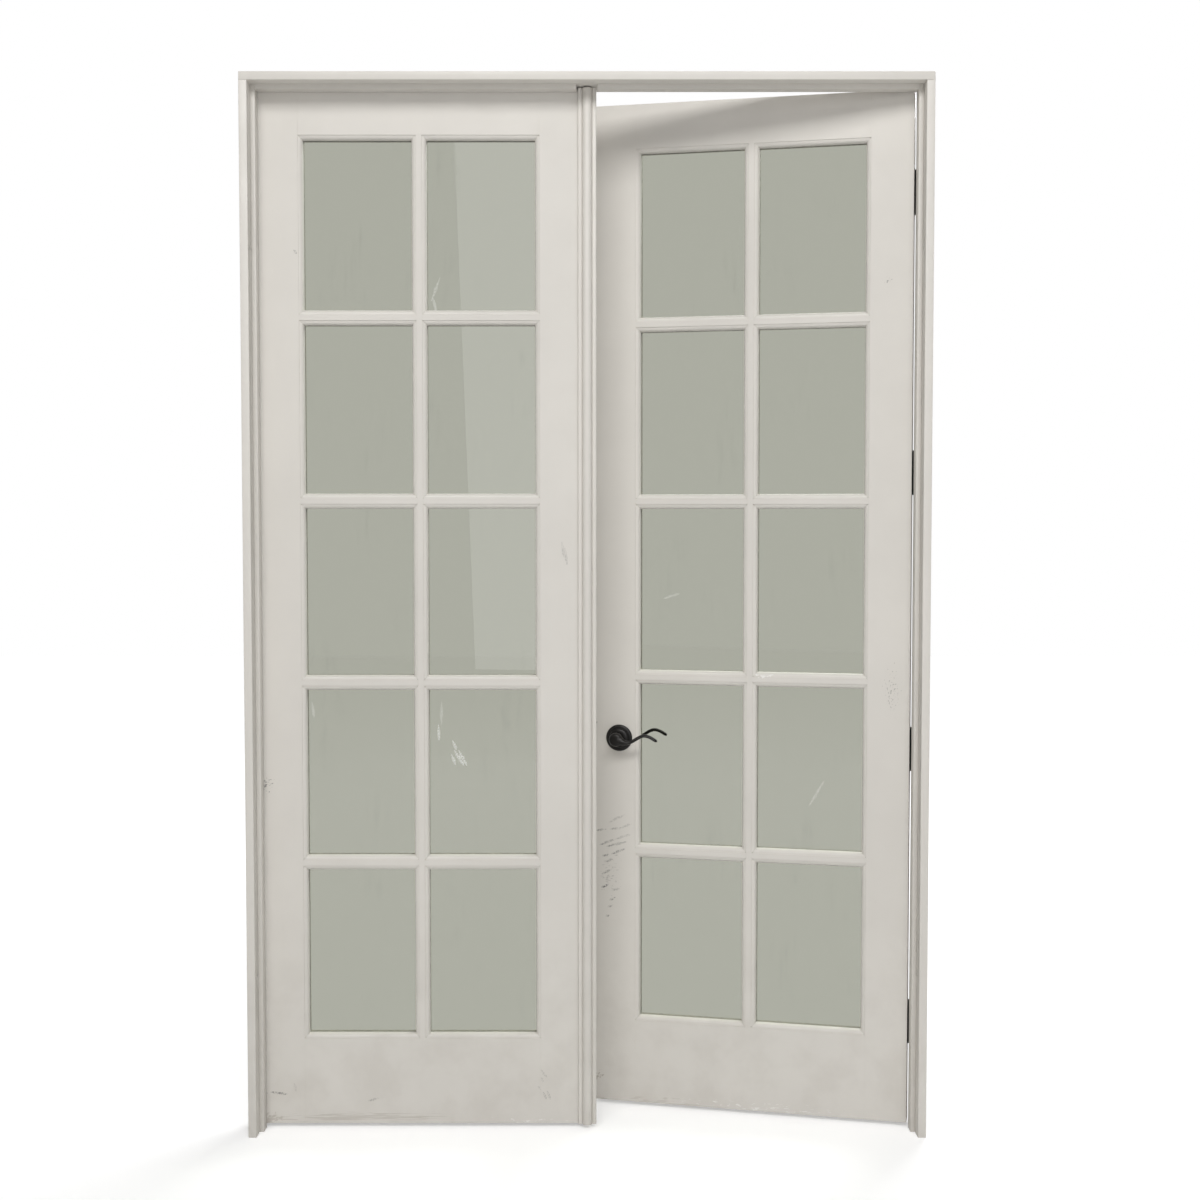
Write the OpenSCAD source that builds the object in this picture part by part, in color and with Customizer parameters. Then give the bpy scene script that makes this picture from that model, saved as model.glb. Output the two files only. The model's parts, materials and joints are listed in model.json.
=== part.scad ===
// Pair of french doors in their frame: two ten-light glazed leaves on butt hinges,
// a T-shaped astragal on the left leaf, a wave lever with its latch on the right leaf.
// Millimetres, +Z up, +X to the right seen from the astragal's side, +Y through the doorway.
// The origin is at floor level, in the middle of the doorway and of the shut leaves' thickness.
// The leaves swing towards +Y, and the right one stands ajar.

/* [Leaves] */
// Width of each leaf
leaf_w = 762; // [680:1:840]
// Height of each leaf
leaf_h = 2438; // [2200:1:2600]
// Thickness of each leaf
leaf_t = 44.5; // [42:0.5:50]
// Face width of a stile, from its edge to the moulding
stile_w = 100; // [96:1:120]
// Face height of the top rail
top_rail_h = 106; // [90:1:130]
// Face height of the bottom rail
bottom_rail_h = 205; // [150:1:280]
// Face width of a glazing bar between its mouldings
bar_w = 14; // [10:1:22]
// Clearance round each leaf
leaf_gap = 3; // [3:0.5:5]
// Height of the leaves above the floor
floor_gap = 10; // [6:1:18]
// How far the right leaf stands open, in degrees
right_ajar = 13; // [13:0.5:30]

/* [Moulding and glass] */
// Width of the moulding round each light
mould_w = 10.5; // [8:0.5:13]
// Depth of the moulding from the face
mould_d = 12; // [9:0.5:14]
// Step down from the face where the moulding starts
quirk = 1.6; // [0.8:0.2:2.4]
// Depth of the glass seat from the face
glass_seat = 18; // [16:0.5:20]
// Thickness of the glass
glass_t = 4.5; // [3:0.5:6]
// Clearance round each pane
pane_gap = 1.5; // [1:0.5:3]

/* [Frame] */
// Thickness of the jambs and head
jamb_t = 19; // [18.5:0.5:30]
// Depth of the jambs and head
jamb_d = 116; // [110:1:160]
// Thickness of the stops
stop_t = 11; // [8:0.5:15]
// Depth of the stops
stop_d = 32; // [20:1:36]
// Clearance between a shut leaf and its stop
stop_gap = 1.5; // [1:0.5:3]
// Diameter of the fixing holes in the jambs
fixing_d = 5.5; // [4:0.5:8]
// Spacing of the fixing holes across a jamb
fixing_across = 70; // [68:1:76]
// Distance of the fixing holes from the front edge of a jamb
fixing_edge = 19; // [16:1:22]
// Distance of the fixing holes from the ends of a jamb
fixing_inset = 375.5; // [360:0.5:400]

/* [Astragal] */
// Thickness of the astragal's stem, between the leaves
stem_w = 19; // [17:0.5:22]
// Width of the astragal's cap
cap_w = 43; // [40:0.5:50]
// Depth of the cap in front of the leaves
cap_d = 18; // [15:0.5:22]
// Thickness of the cap's lips
lip_t = 8; // [6:0.5:10]
// Width of the cap's round centre
cap_round_w = 22; // [16:0.5:24]
// Width and depth of the grooves beside the round centre
cap_groove = 1.5; // [1:0.25:2]
// Clearance between the cap and the right leaf
lap_gap = 1; // [0.5:0.25:2]
// Clearance between the cap and the head stops
cap_stop_gap = 3; // [2:0.5:5]

/* [Hinges] */
// Height of a hinge
hinge_h = 102; // [90:1:115]
// Thickness of a hinge plate
plate_t = 2.5; // [2:0.25:3]
// How far a hinge plate reaches across the edge of the leaf
plate_w = 36; // [32:1:38]
// Diameter of the hinge knuckles
knuckle_d = 12.5; // [11:0.5:14]
// Diameter of the hinge pins
pin_d = 6.4; // [5:0.2:7]
// Clearance between a pin and its knuckles
pin_gap = 0.2; // [0.15:0.05:0.3]
// Distance from the leaf's face to the knuckles
knuckle_stand = 1; // [0.8:0.1:2]
// Clearance between neighbouring knuckles
knuckle_gap = 0.4; // [0.3:0.1:0.8]
// Distance of the end hinges' middles from the ends of the leaf
hinge_inset = 230; // [200:1:260]
// Length of the hinge screws
screw_l = 16; // [14:0.5:18]
// Shank diameter of the screws
screw_d = 4.2; // [3.4:0.2:4.6]
// Head diameter of the screws
screw_head_d = 8.4; // [7.4:0.2:9]

/* [Lever and latch] */
// Height of the lever above the floor
lever_z = 914; // [880:1:960]
// Distance from the leaf's edge to the lever's axis
backset = 60; // [60:1:70]
// Diameter of the rosettes
rosette_d = 65; // [60:1:72]
// Height of the rosettes above the leaf's face
rosette_h = 10.5; // [9:0.5:12]
// Reach of a lever from its axis to its tip
lever_reach = 103; // [96:1:110]
// Distance from the leaf's face to the middle of a lever
lever_stand = 43; // [38:1:50]
// Diameter of a lever's neck
neck_d = 20; // [18:0.5:22]
// Diameter of a lever's hub
hub_d = 33; // [30:0.5:36]
// Thickness of a lever's blade
blade_t = 8; // [7:0.5:10]
// Depth of a lever's blade, away from the leaf
blade_d = 13; // [11:0.5:16]
// Side of the square spindle
spindle_w = 8; // [7:0.5:9]
// Diameter of the hole through the leaf behind the rosettes
cross_bore_d = 54; // [52:0.5:56]
// Diameter of the latch's hole in the edge of the leaf
edge_bore_d = 25.4; // [24:0.2:28]
// Width of the latch bolt across the leaf's thickness
latch_w = 13; // [11:0.5:14]
// Height of the latch bolt
latch_h = 17; // [15:0.5:18]
// How far the latch bolt stands out of the leaf's edge
latch_throw = 12; // [10.5:0.5:12.5]
// Clearance round sliding and turning pieces
slide_gap = 0.35; // [0.3:0.05:0.5]

/* [Flush bolts] */
// Diameter of the bolt rods
rod_d = 8; // [7:0.5:9]
// Length of the bolt rods
rod_l = 220; // [180:5:280]
// Travel of the bolts
bolt_travel = 16; // [10:1:16]
// Height of the bolt plates
bolt_plate_h = 90; // [76:1:110]
// Width of the bolt plates
bolt_plate_w = 18; // [16:0.5:22]

/* [Hidden] */
$fn = 48;

pane_cols = 2;
pane_rows = 5;
hinge_count = 4;
knuckle_count = 5;
screws_per_plate = 4;
arc_steps = 8;
cut = 1;

paint = "#dcd8d2";
clear_glass = "#c9d6cf";
black_metal = "#1d1c1b";
brass_metal = "#b08d4a";
steel_metal = "#8d8f90";

front = -leaf_t / 2;
back = leaf_t / 2;
glass_front = front + glass_seat;
glass_back = glass_front + glass_t;

half_meet = (stem_w + leaf_gap) / 2;
half_open = half_meet + leaf_w + leaf_gap;
hinge_edge = -half_meet - leaf_w;
head_z = floor_gap + leaf_h + leaf_gap;
jamb_front = back - jamb_d;
stop_back = front - stop_gap;
stem_left = -half_meet;
stem_right = stem_left + stem_w;
leaf_top = floor_gap + leaf_h;

light_w = (leaf_w - 2 * stile_w - (pane_cols - 1) * bar_w) / pane_cols;
light_h = (leaf_h - top_rail_h - bottom_rail_h - (pane_rows - 1) * bar_w) / pane_rows;
rail_len = leaf_w - 2 * stile_w;
upright_len = leaf_h - top_rail_h - bottom_rail_h;

knuckle_r = knuckle_d / 2;
pin_x = hinge_edge - leaf_gap / 2;
pin_y = back + knuckle_stand + knuckle_r;
pin_head_inset = 0.8;
pin_head_r = knuckle_r - pin_head_inset;
pin_head_h = 3.5;
pin_head_flat = 0.6;
hinge_pitch = (leaf_h - 2 * hinge_inset) / (hinge_count - 1);
knuckle_h = hinge_h / knuckle_count;
plate_end_pitches = 0.3;
screw_pitch = hinge_h / (screws_per_plate + 2 * plate_end_pitches);
screw_row_shares = [0.36, 0.72];
screw_rows_y = [for (share = screw_row_shares) back - plate_w * share];
screw_gap = 0.1;
screw_tip = 3;

fixing_y = jamb_front + fixing_edge;
fixing_up = head_z - 2 * fixing_inset;

lever_x = half_meet + backset;
neck_bore_r = neck_d / 2 + slide_gap;
rosette_rim_h = 2;
rosette_step_w = 6;
rosette_ledge_w = 3;
rosette_flat_w = 3;
rosette_step_share = 0.55;
post_r = 4;
post_at = 20;
post_end = 4;
rosette_screw_r = 1.9;
rosette_screw_head_r = 3.8;
rosette_screw_seat = 5;
rosette_screw_head_h = 2;
hub_crown = 1;
hub_shoulder = 2;
hub_front = lever_stand + blade_d / 2 + hub_crown;
hub_back = lever_stand - blade_d / 2 - hub_shoulder;
hub_flare = 8;
hub_edge_r = 8;
neck_start = 0.6;
spindle_short = 4;
spindle_end = lever_stand - spindle_short;
wave = [[0, 0], [0.27, -7], [0.7, 11.5], [1.2, -9]];
blade_root = 0.04;
blade_rings = 26;
blade_sides = 14;
root_swell = 4.2;
root_fade = 0.4;
tip_from = 0.93;
tip_least = 0.02;
lean_step = 0.01;
depth_swell = 1.3;
ring_ease = 0.9;

faceplate_t = 2.5;
faceplate_h = 57;
faceplate_w = edge_bore_d;
case_r = edge_bore_d / 2 - slide_gap / 2;
case_overlap = 6;
case_end = backset - cross_bore_d / 2 + case_overlap;
tail_t = 14;
tail_h = 24;
tail_past = 14;
tail_end = backset + tail_past;
latch_tail = 18;
latch_nose = 3;
strike_t = 1.6;
strike_w = 26;
strike_gap = 1;
pocket_room = 1.5;
strike_pocket = stem_right - half_meet + latch_throw + leaf_gap + pocket_room;

rod_x = (stem_left + stem_right) / 2;
rod_y = 6;
rod_bore_r = rod_d / 2 + slide_gap;
rod_inset = 1;
tab_w = 5;
tab_h = 12;
tab_from_end = 150;
tab_slot_h = tab_h + bolt_travel + 2 * slide_gap;
bolt_plate_t = 2;
head_strike_t = 2;
head_strike_l = 60;
head_strike_w = 22;
strike_hole_room = 1;
strike_hole_r = rod_d / 2 + strike_hole_room;
socket_room = 2;
bolt_socket = bolt_travel - leaf_gap - rod_inset + socket_room;
astragal_screws_z = [0.2, 0.3, 0.5, 0.64, 0.8];
astragal_screw_l = 42;
astragal_screw_head_h = 3;

SIDES = ["left", "right"];
JOINERY = [
    "hinge_stile", "meeting_stile", "top_rail", "bottom_rail", "upright_bar",
    "panes", "beads", "leaf_hinge_plates", "leaf_hinge_screws"
];

// Places

// Turns what is drawn for the shut right leaf to where it stands ajar
module swung_right() {
    translate([-pin_x, pin_y, 0])
        rotate([0, 0, -right_ajar])
            translate([pin_x, -pin_y, 0])
                children();
}

// What is drawn for the left leaf, put on either leaf
module on_leaf(side) {
    if (side == "left")
        children();
    else
        swung_right() mirror([1, 0, 0]) children();
}

// What is drawn for the left jamb, put on either jamb
module on_jamb(side) {
    mirror([side == "left" ? 0 : 1, 0, 0]) children();
}

// The left leaf's own corner: X from its hinge edge, Z from its foot
module leaf_corner() {
    translate([hinge_edge, 0, floor_gap]) children();
}

// A flat outline in Y and Z, drawn out along +X
module along_x(length) {
    rotate([90, 0, 90]) linear_extrude(length) children();
}

// Mouldings

// Curve of the moulding from the quirk to the sight edge, for a face at "face" and depth towards "inward"
function ovolo(face, inward) = [
    for (i = [0 : arc_steps])
        let (turn = 90 * i / arc_steps)
        [mould_w * sin(turn), face + inward * (mould_d - (mould_d - quirk) * cos(turn))]
];

// Moulded edge of a stile, rail or bar from the front face to the back, in steps away from its flat
function moulded_edge() = concat(
    [[0, front]],
    ovolo(front, 1),
    [[mould_w, glass_front], [0, glass_front], [0, back]]
);

// The tongue that the moulded edge adds, run a little under the flat to cut clean copes
function tongue() = concat(
    [[-cut, front + quirk]],
    ovolo(front, 1),
    [[mould_w, glass_front], [-cut, glass_front]]
);

function glazing_bead() = concat(
    [[0, glass_back], [mould_w, glass_back]],
    [for (i = [arc_steps : -1 : 0]) ovolo(back, -1)[i]]
);

// Points of an edge outline moved to "at", facing +1 or -1
function edge_at(outline, at, facing) = [for (p = outline) [at + facing * p[0], p[1]]];

// The same outline as Y and Z, for what runs along X
function turned(outline) = [for (p = outline) [p[1], p[0]]];

function reversed(list) = [for (i = [len(list) - 1 : -1 : 0]) list[i]];

// Joinery of one leaf

function light_x(col) = stile_w + col * (light_w + bar_w);
function light_z(row) = bottom_rail_h + row * (light_h + bar_w);

module upright_cope(at, facing) {
    translate([0, 0, -cut])
        linear_extrude(leaf_h + 2 * cut)
            polygon(edge_at(tongue(), at, facing));
}

module level_cope(at, facing) {
    along_x(leaf_w) polygon(turned(edge_at(tongue(), at, facing)));
}

module stile(length) {
    linear_extrude(length)
        polygon(concat([[0, back], [0, front]], edge_at(moulded_edge(), stile_w, 1)));
}

module hinge_stile(side) {
    color(paint) on_leaf(side) difference() {
        leaf_corner() stile(leaf_h);
        hinges() {
            leaf_plate_blank();
            leaf_screws(screw_gap);
        }
    }
}

module meeting_stile(side) {
    color(paint) on_leaf(side) difference() {
        leaf_corner() translate([leaf_w, 0, 0]) mirror([1, 0, 0]) stile(leaf_h);
        if (side == "left")
            astragal_screw_set(screw_gap);
        else
            mirror([1, 0, 0]) latch_bores();
    }
}

module rail(outline) {
    difference() {
        translate([stile_w, 0, 0])
            along_x(rail_len)
                polygon(turned(outline));
        upright_cope(stile_w, 1);
        upright_cope(leaf_w - stile_w, -1);
    }
}

module bottom_rail(side) {
    outline = concat([[0, back], [0, front]], edge_at(moulded_edge(), bottom_rail_h, 1));
    color(paint) on_leaf(side) leaf_corner() rail(outline);
}

module top_rail(side) {
    line = leaf_h - top_rail_h;
    outline = concat([[leaf_h, back], [leaf_h, front]], edge_at(moulded_edge(), line, -1));
    color(paint) on_leaf(side) leaf_corner() rail(outline);
}

// Bar with a moulding on each side, as [place, depth] points
function bar_outline(low) = concat(
    edge_at(moulded_edge(), low + bar_w, 1),
    reversed(edge_at(moulded_edge(), low, -1))
);

module upright_bar(side) {
    color(paint) on_leaf(side) leaf_corner() difference() {
        for (col = [1 : pane_cols - 1])
            translate([0, 0, bottom_rail_h])
                linear_extrude(upright_len)
                    polygon(bar_outline(light_x(col) - bar_w));
        level_cope(bottom_rail_h, 1);
        level_cope(leaf_h - top_rail_h, -1);
    }
}

module cross_bar(side, row) {
    color(paint) on_leaf(side) leaf_corner()
        for (col = [0 : pane_cols - 1])
            difference() {
                translate([light_x(col), 0, 0])
                    along_x(light_w)
                        polygon(turned(bar_outline(light_z(row) - bar_w)));
                upright_cope(light_x(col), 1);
                upright_cope(light_x(col) + light_w, -1);
            }
}

module lights() {
    for (col = [0 : pane_cols - 1], row = [0 : pane_rows - 1])
        translate([light_x(col), 0, light_z(row)])
            children();
}

module panes(side) {
    color(clear_glass) on_leaf(side) leaf_corner() lights()
        translate([pane_gap, glass_front, pane_gap])
            cube([light_w - 2 * pane_gap, glass_t, light_h - 2 * pane_gap]);
}

// One strip of glazing bead with mitred ends, lying along +X
module bead_strip(length) {
    intersection() {
        along_x(length) polygon(turned(glazing_bead()));
        translate([0, back, 0]) rotate([90, 0, 0]) linear_extrude(leaf_t)
            polygon([[0, 0], [length, 0], [length - mould_w, mould_w], [mould_w, mould_w]]);
    }
}

module beads(side) {
    color(paint) on_leaf(side) leaf_corner() lights()
        translate([light_w / 2, 0, light_h / 2])
            for (turn = [0 : 3]) {
                length = turn % 2 == 0 ? light_w : light_h;
                across = turn % 2 == 0 ? light_h : light_w;
                rotate([0, 90 * turn, 0])
                    translate([-length / 2, 0, -across / 2])
                        bead_strip(length);
            }
}

// Hinges, drawn on the left leaf and jamb

module hinges() {
    for (i = [0 : hinge_count - 1])
        translate([0, 0, floor_gap + hinge_inset + i * hinge_pitch])
            children([0 : $children - 1]);
}

module plate_blank(low_x) {
    translate([low_x, back - plate_w, -hinge_h / 2]) cube([plate_t, plate_w, hinge_h]);
}

module leaf_plate_blank() {
    plate_blank(hinge_edge);
}

module jamb_plate_blank() {
    plate_blank(-half_open - plate_t);
}

module knuckles(first, radius, room) {
    for (k = [first : 2 : knuckle_count - 1])
        translate([pin_x, pin_y, -hinge_h / 2 + k * knuckle_h - room])
            cylinder(r = radius, h = knuckle_h + 2 * room);
}

// A hinge plate with its own knuckles, cut back round the other plate's
module hinge_plate(low_x, own, other) {
    difference() {
        union() {
            translate([low_x, back - plate_w, -hinge_h / 2])
                cube([plate_t, pin_y - back + plate_w, hinge_h]);
            knuckles(own, knuckle_r, -knuckle_gap / 2);
        }
        knuckles(other, knuckle_r + knuckle_gap, knuckle_gap / 2);
        translate([pin_x, pin_y, -hinge_h / 2 - cut])
            cylinder(d = pin_d + 2 * pin_gap, h = hinge_h + 2 * cut);
    }
}

// Countersunk screw with its head at the origin, pointing along +Z
module screw(length, head_h, gap) {
    rotate_extrude()
        polygon([
            [0, 0],
            [screw_head_d / 2 + gap, 0],
            [screw_d / 2 + gap, head_h],
            [screw_d / 2 + gap, length - screw_tip],
            [0, length + gap]
        ]);
}

module plate_screws(gap) {
    for (k = [0 : screws_per_plate - 1])
        translate([0, screw_rows_y[k % 2], (k - (screws_per_plate - 1) / 2) * screw_pitch])
            rotate([0, 90, 0])
                screw(screw_l, plate_t, gap);
}

module leaf_screws(gap) {
    translate([hinge_edge, 0, 0]) plate_screws(gap);
}

module jamb_screws(gap) {
    translate([-half_open, 0, 0]) mirror([1, 0, 0]) plate_screws(gap);
}

module leaf_hinge_plates(side) {
    color(black_metal) on_leaf(side) hinges() difference() {
        hinge_plate(hinge_edge, 1, 0);
        leaf_screws(screw_gap);
    }
}

module jamb_hinge_plates(side) {
    color(black_metal) on_jamb(side) hinges() difference() {
        hinge_plate(-half_open - plate_t, 0, 1);
        jamb_screws(screw_gap);
    }
}

module leaf_hinge_screws(side) {
    color(black_metal) on_leaf(side) hinges() leaf_screws(0);
}

module jamb_hinge_screws() {
    color(black_metal)
        for (side = SIDES)
            on_jamb(side) hinges() jamb_screws(0);
}

module hinge_pins(side) {
    color(black_metal) on_jamb(side) hinges()
        translate([pin_x, pin_y, 0])
            rotate_extrude()
                polygon([
                    [0, -hinge_h / 2],
                    [pin_d / 2, -hinge_h / 2],
                    [pin_d / 2, hinge_h / 2],
                    [pin_head_r, hinge_h / 2],
                    [pin_head_r, hinge_h / 2 + pin_head_h * pin_head_flat],
                    [pin_head_r * pin_head_flat, hinge_h / 2 + pin_head_h],
                    [0, hinge_h / 2 + pin_head_h]
                ]);
}

// Frame

module jamb(side) {
    color(paint) on_jamb(side) difference() {
        translate([-half_open - jamb_t, jamb_front, 0]) cube([jamb_t, jamb_d, head_z]);
        hinges() {
            jamb_plate_blank();
            jamb_screws(screw_gap);
        }
        for (across = [0, 1], up = [0, 1])
            translate([
                -half_open - jamb_t - cut,
                fixing_y + across * fixing_across,
                fixing_inset + up * fixing_up
            ])
                rotate([0, 90, 0]) cylinder(d = fixing_d, h = jamb_t + 2 * cut);
    }
}

module head_jamb() {
    color(paint) difference() {
        translate([-half_open - jamb_t, jamb_front, head_z])
            cube([2 * (half_open + jamb_t), jamb_d, jamb_t]);
        head_strike_blank();
        translate([rod_x, rod_y, head_z - cut]) cylinder(r = strike_hole_r, h = bolt_socket + cut);
    }
}

module side_stop(side) {
    color(paint) on_jamb(side)
        translate([-half_open, stop_back - stop_d, 0]) cube([stop_t, stop_d, head_z]);
}

module head_stops() {
    inner_end = cap_w / 2 + cap_stop_gap;
    length = half_open - stop_t - inner_end;
    color(paint)
        for (side = SIDES)
            on_jamb(side)
                translate([-half_open + stop_t, stop_back - stop_d, head_z - stop_t])
                    cube([length, stop_d, stop_t]);
}

module head_strike_blank() {
    translate([rod_x - head_strike_w / 2, rod_y - head_strike_l / 2, head_z])
        cube([head_strike_w, head_strike_l, head_strike_t]);
}

module head_bolt_strike() {
    color(black_metal) difference() {
        head_strike_blank();
        translate([rod_x, rod_y, head_z - cut]) cylinder(r = strike_hole_r, h = head_strike_t + 2 * cut);
    }
}

// Astragal and flush bolts

// Right half of the cap's front, from its crest to its lap on the right leaf
function cap_half() = concat(
    [
        for (i = [0 : arc_steps])
            let (turn = 90 * i / arc_steps)
            [cap_round_w / 2 * sin(turn), front - lip_t - (cap_d - lip_t) * cos(turn)]
    ],
    [
        [cap_round_w / 2, front - lip_t + cap_groove],
        [cap_round_w / 2 + cap_groove, front - lip_t + cap_groove],
        [cap_round_w / 2 + cap_groove, front - lip_t],
        [cap_w / 2 - cap_groove, front - lip_t],
        [cap_w / 2, front - lip_t + cap_groove]
    ]
);

function astragal_outline() = concat(
    cap_half(),
    [[cap_w / 2, front - lap_gap], [stem_right, front - lap_gap], [stem_right, back]],
    [[stem_left, back], [stem_left, front], [-cap_w / 2, front]],
    reversed([for (p = cap_half()) if (p[0] > 0) [-p[0], p[1]]])
);

// What is drawn for the top bolt, put at the top or the foot of the left leaf
module bolt_end(end) {
    if (end == "top")
        translate([0, 0, leaf_top]) children();
    else
        translate([0, 0, floor_gap]) mirror([0, 0, 1]) children();
}

module bolt_tab_slot(depth) {
    translate([rod_x, rod_y - tab_w / 2 - slide_gap, -tab_from_end - slide_gap])
        cube([depth, tab_w + 2 * slide_gap, tab_slot_h]);
}

module bolt_plate_blank() {
    translate([
        stem_right - bolt_plate_t,
        rod_y - bolt_plate_w / 2,
        -tab_from_end + tab_slot_h / 2 - bolt_plate_h / 2
    ])
        cube([bolt_plate_t, bolt_plate_w, bolt_plate_h]);
}

module bolt_room() {
    translate([rod_x, rod_y, -rod_l - rod_inset - slide_gap])
        cylinder(r = rod_bore_r, h = rod_l + rod_inset + slide_gap + cut);
    bolt_tab_slot(stem_w);
    bolt_plate_blank();
}

module bolt_plate(end) {
    color(black_metal) bolt_end(end) difference() {
        bolt_plate_blank();
        bolt_tab_slot(stem_w);
    }
}

module flush_bolt(end) {
    color(steel_metal) bolt_end(end) {
        translate([rod_x, rod_y, -rod_l - rod_inset]) cylinder(d = rod_d, h = rod_l);
        translate([rod_x, rod_y - tab_w / 2, -tab_from_end])
            cube([stem_right - rod_x, tab_w, tab_h]);
    }
}

module astragal_screw_set(gap) {
    for (share = astragal_screws_z)
        translate([stem_right, -rod_y, floor_gap + share * leaf_h])
            rotate([0, -90, 0])
                screw(astragal_screw_l, astragal_screw_head_h, gap);
}

module strike_blank() {
    translate([stem_right - strike_t, -strike_w / 2, lever_z - faceplate_h / 2])
        cube([strike_t, strike_w, faceplate_h]);
}

module strike_hole() {
    translate([
        stem_right - strike_pocket,
        -latch_w / 2 - strike_gap,
        lever_z - latch_h / 2 - strike_gap
    ])
        cube([strike_pocket + cut, latch_w + 2 * strike_gap, latch_h + 2 * strike_gap]);
}

module astragal() {
    color(paint) difference() {
        translate([0, 0, floor_gap]) linear_extrude(leaf_h) polygon(astragal_outline());
        for (end = ["top", "bottom"])
            bolt_end(end) bolt_room();
        astragal_screw_set(screw_gap);
        strike_blank();
        strike_hole();
    }
}

module astragal_screws() {
    color(steel_metal) astragal_screw_set(0);
}

module latch_strike() {
    color(brass_metal) difference() {
        strike_blank();
        strike_hole();
    }
}

// Lever set and latch, drawn on the shut right leaf

// The lever's axis on a face of the right leaf, with +Z away from the leaf
module lever_face(face) {
    swung_right()
        translate([lever_x, face == "outer" ? front : back, lever_z])
            rotate([face == "outer" ? 90 : -90, 0, 0])
                children();
}

module latch_bores() {
    translate([lever_x, front - cut, lever_z])
        rotate([-90, 0, 0])
            cylinder(d = cross_bore_d, h = leaf_t + 2 * cut);
    translate([half_meet - cut, 0, lever_z])
        rotate([0, 90, 0])
            cylinder(d = edge_bore_d, h = backset + cut);
    faceplate_blank();
}

module rosette_body() {
    outer = rosette_d / 2;
    step = outer - rosette_step_w;
    crown = step - rosette_ledge_w;
    ledge_h = rosette_h * rosette_step_share;
    rotate_extrude()
        polygon(concat(
            [[neck_bore_r, 0], [outer, 0], [outer, rosette_rim_h]],
            [
                for (i = [1 : arc_steps])
                    let (turn = 90 * i / arc_steps)
                    [
                        outer - (outer - step) * (1 - cos(turn)),
                        rosette_rim_h + (ledge_h - rosette_rim_h) * sin(turn)
                    ]
            ],
            [[crown, ledge_h]],
            [
                for (i = [1 : arc_steps])
                    let (turn = 90 * i / arc_steps)
                    [
                        crown - (crown - neck_bore_r - rosette_flat_w) * (1 - cos(turn)),
                        ledge_h + (rosette_h - ledge_h) * sin(turn)
                    ]
            ],
            [[neck_bore_r, rosette_h]]
        ));
}

module post_places() {
    for (up = [-1, 1])
        translate([0, up * post_at, 0]) children();
}

module outer_rosette() {
    color(black_metal) lever_face("outer") difference() {
        union() {
            rosette_body();
            post_places()
                translate([0, 0, -leaf_t / 2 - post_end])
                    cylinder(r = post_r, h = leaf_t / 2 + post_end + cut);
        }
        post_places()
            translate([0, 0, -leaf_t / 2 - post_end - cut])
                cylinder(r = rosette_screw_r + screw_gap, h = leaf_t / 2 + cut);
    }
}

module inner_rosette() {
    color(black_metal) lever_face("inner") difference() {
        rosette_body();
        post_places() {
            translate([0, 0, -cut]) cylinder(r = rosette_screw_r + screw_gap, h = rosette_h + cut);
            translate([0, 0, rosette_screw_seat])
                cylinder(r = rosette_screw_head_r + screw_gap, h = rosette_h);
        }
    }
}

module rosette_screws() {
    reach = leaf_t - post_end;
    color(black_metal) lever_face("inner") post_places() {
        translate([0, 0, -reach + leaf_t / 4])
            cylinder(r = rosette_screw_r, h = reach - leaf_t / 4 + rosette_screw_seat);
        translate([0, 0, rosette_screw_seat]) cylinder(r = rosette_screw_head_r, h = rosette_screw_head_h);
    }
}

// Height of the blade's middle line at a share of its reach
function wave_part(share, a, b) =
    a[1] + (b[1] - a[1]) * (1 - cos(180 * (share - a[0]) / (b[0] - a[0]))) / 2;
function wave_z(share) =
    share < wave[1][0] ? wave_part(share, wave[0], wave[1])
    : share < wave[2][0] ? wave_part(share, wave[1], wave[2])
    : wave_part(share, wave[2], wave[3]);

// How thick the blade is at a share of its reach: swollen at the hub and round at the tip
function blade_size(share) =
    (1 + (root_swell - 1) * pow(max(0, 1 - share / root_fade), 2))
    * (share < tip_from ? 1 : sqrt(max(tip_least, 1 - pow((share - tip_from) / (1 - tip_from), 2))));

function blade_ring(share) =
    let (
        rise = wave_z(share + lean_step) - wave_z(share - lean_step),
        lean = atan2(rise, 2 * lean_step * lever_reach),
        size = blade_size(share)
    )
    [
        for (s = [0 : blade_sides - 1])
            let (
                turn = 360 * s / blade_sides,
                up = size * blade_t / 2 * sin(turn),
                out = min(size, depth_swell) * blade_d / 2 * cos(turn)
            )
            [
                share * lever_reach - up * sin(lean),
                wave_z(share) + up * cos(lean),
                lever_stand + out
            ]
    ];

module blade() {
    shares = [
        for (i = [0 : blade_rings - 1])
            blade_root + (1 - blade_root) * sin(90 * pow(i / (blade_rings - 1), ring_ease))
    ];
    n = blade_sides;
    last = (blade_rings - 1) * n;
    polyhedron(
        points = [for (share = shares) each blade_ring(share)],
        faces = concat(
            [[for (s = [n - 1 : -1 : 0]) s]],
            [
                for (ring = [0 : blade_rings - 2], s = [0 : n - 1])
                    let (a = ring * n + s, b = ring * n + (s + 1) % n)
                    [a, b, b + n, a + n]
            ],
            [[for (s = [0 : n - 1]) last + s]]
        )
    );
}

module lever_hub() {
    hub_r = hub_d / 2;
    flare_from = hub_back - hub_flare;
    rotate_extrude()
        polygon(concat(
            [[0, neck_start], [neck_d / 2, neck_start], [neck_d / 2, flare_from]],
            [
                for (i = [1 : arc_steps])
                    let (turn = 90 * i / arc_steps)
                    [
                        neck_d / 2 + (hub_r - neck_d / 2) * (1 - cos(turn)),
                        flare_from + hub_flare * sin(turn)
                    ]
            ],
            [
                for (i = [0 : arc_steps])
                    let (turn = 90 * i / arc_steps)
                    [
                        hub_r - hub_edge_r * (1 - cos(turn)),
                        hub_front - hub_edge_r + hub_edge_r * sin(turn)
                    ]
            ],
            [[0, hub_front]]
        ));
}

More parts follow.
